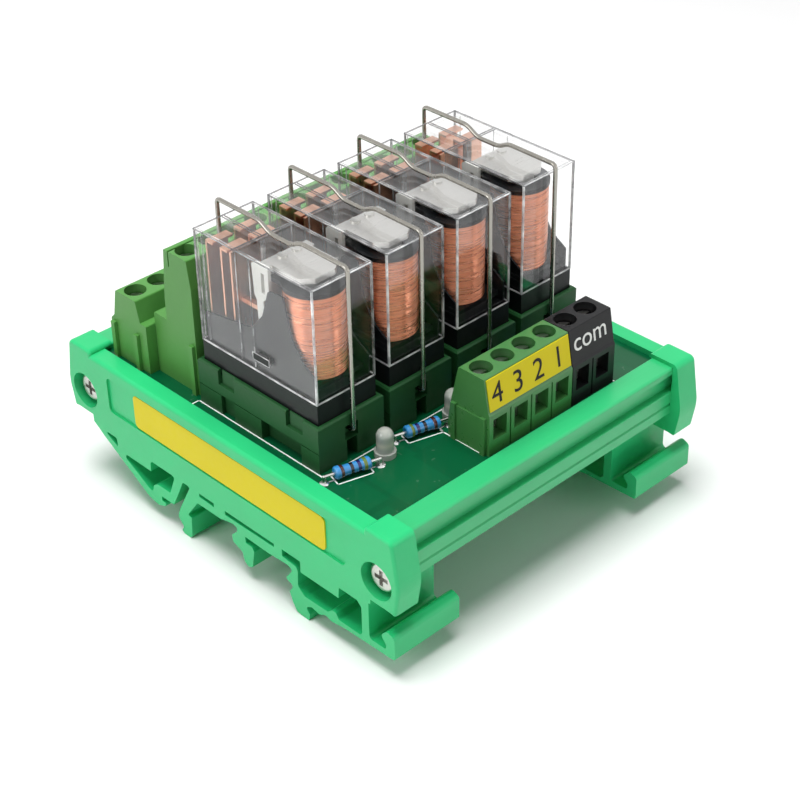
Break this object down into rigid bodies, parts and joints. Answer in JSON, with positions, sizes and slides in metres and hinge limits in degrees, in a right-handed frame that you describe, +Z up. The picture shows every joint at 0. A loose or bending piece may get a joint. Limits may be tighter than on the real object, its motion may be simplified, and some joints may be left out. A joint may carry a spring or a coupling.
{
  "type": "relay module board",
  "caption": "Rail-mount relay module: green clip-on carrier, circuit board, clear plug-in relays in sockets with wire clips, screw terminals front and back.",
  "frame": {"origin": "bottom centre of the part's box, on the surface it stands on", "axes": "+Z up; X along the row of relays and along the mounting rail, with the labelled end plate at -X; the input terminal faces -Y"},
  "size_m": [0.0746, 0.0868, 0.0631],
  "materials": {
    "carrier_green": "moulded, satin",
    "profile_green": "extruded, satin with fine draw lines",
    "board_green": "glossy solder mask",
    "screw_steel": "zinc plated",
    "label_yellow": "printed film",
    "terminal_green": "moulded, satin",
    "terminal_black": "moulded, satin",
    "clamp_metal": "nickel plated",
    "led_milky": "diffused",
    "resistor_blue": "lacquered, banded",
    "solder": "bright solder",
    "relay_black": "moulded",
    "relay_clear": "transparent polycarbonate",
    "copper": "bare and enamelled copper",
    "relay_steel": "plated iron",
    "card_white": "moulded",
    "socket_green": "moulded, satin",
    "clip_steel": "spring wire"
  },
  "bodies": {
    "module": {"base_profile": "profile_green", "circuit_board": "board_green", "end_plate_left": "carrier_green", "end_plate_right": "carrier_green", "input_clamps": "clamp_metal", "input_terminal_black": "terminal_black", "input_terminal_green": "terminal_green", "output_clamps": "clamp_metal", "output_terminal_high": "terminal_green", "output_terminal_low": "terminal_green", "plate_label": "label_yellow", "plate_screws": "screw_steel", "relay_base_1": "relay_black", "relay_base_2": "relay_black", "relay_base_3": "relay_black", "relay_base_4": "relay_black", "relay_bobbin_1": "relay_black", "relay_bobbin_2": "relay_black", "relay_bobbin_3": "relay_black", "relay_bobbin_4": "relay_black", "relay_case_1": "relay_clear", "relay_case_2": "relay_clear", "relay_case_3": "relay_clear", "relay_case_4": "relay_clear", "relay_coil_1": "copper", "relay_coil_2": "copper", "relay_coil_3": "copper", "relay_coil_4": "copper", "relay_contacts_1": "copper", "relay_contacts_2": "copper", "relay_contacts_3": "copper", "relay_contacts_4": "copper", "relay_socket_1": "socket_green", "relay_socket_2": "socket_green", "relay_socket_3": "socket_green", "relay_socket_4": "socket_green", "relay_yoke_1": "relay_steel", "relay_yoke_2": "relay_steel", "relay_yoke_3": "relay_steel", "relay_yoke_4": "relay_steel", "resistors": "resistor_blue", "solder_joints": "solder", "status_leds": "led_milky", "terminal_label": "label_yellow", "terminal_screws": "screw_steel"},
    "clip_1": {"socket_clip_1": "clip_steel"},
    "armature_1": {"relay_armature_1": "relay_steel", "relay_card_1": "card_white"},
    "clip_2": {"socket_clip_2": "clip_steel"},
    "armature_2": {"relay_armature_2": "relay_steel", "relay_card_2": "card_white"},
    "clip_3": {"socket_clip_3": "clip_steel"},
    "armature_3": {"relay_armature_3": "relay_steel", "relay_card_3": "card_white"},
    "clip_4": {"socket_clip_4": "clip_steel"},
    "armature_4": {"relay_armature_4": "relay_steel", "relay_card_4": "card_white"}
  },
  "joints": [
    {"name": "clip_1_swing", "type": "hinge", "parent": "module", "child": "clip_1", "pos_m": [-0.024, 0, 0.0316], "axis": [0, 1, 0], "range_deg": [-10, 10]},
    {"name": "clip_2_swing", "type": "hinge", "parent": "module", "child": "clip_2", "pos_m": [-0.008, 0, 0.0316], "axis": [0, 1, 0], "range_deg": [-10, 10]},
    {"name": "clip_3_swing", "type": "hinge", "parent": "module", "child": "clip_3", "pos_m": [0.008, 0, 0.0316], "axis": [0, 1, 0], "range_deg": [-10, 10]},
    {"name": "clip_4_swing", "type": "hinge", "parent": "module", "child": "clip_4", "pos_m": [0.024, 0, 0.0316], "axis": [0, 1, 0], "range_deg": [-10, 10]},
    {"name": "armature_1_pull", "type": "hinge", "parent": "module", "child": "armature_1", "pos_m": [-0.024, -0.00485, 0.05785], "axis": [1, 0, 0], "range_deg": [0, 3.8], "stiffness_Nm_per_rad": 0.0005, "springref_deg": -11.46},
    {"name": "armature_2_pull", "type": "hinge", "parent": "module", "child": "armature_2", "pos_m": [-0.008, -0.00485, 0.05785], "axis": [1, 0, 0], "range_deg": [0, 3.8], "stiffness_Nm_per_rad": 0.0005, "springref_deg": -11.46},
    {"name": "armature_3_pull", "type": "hinge", "parent": "module", "child": "armature_3", "pos_m": [0.008, -0.00485, 0.05785], "axis": [1, 0, 0], "range_deg": [0, 3.8], "stiffness_Nm_per_rad": 0.0005, "springref_deg": -11.46},
    {"name": "armature_4_pull", "type": "hinge", "parent": "module", "child": "armature_4", "pos_m": [0.024, -0.00485, 0.05785], "axis": [1, 0, 0], "range_deg": [0, 3.8], "stiffness_Nm_per_rad": 0.0005, "springref_deg": -11.46}
  ]
}
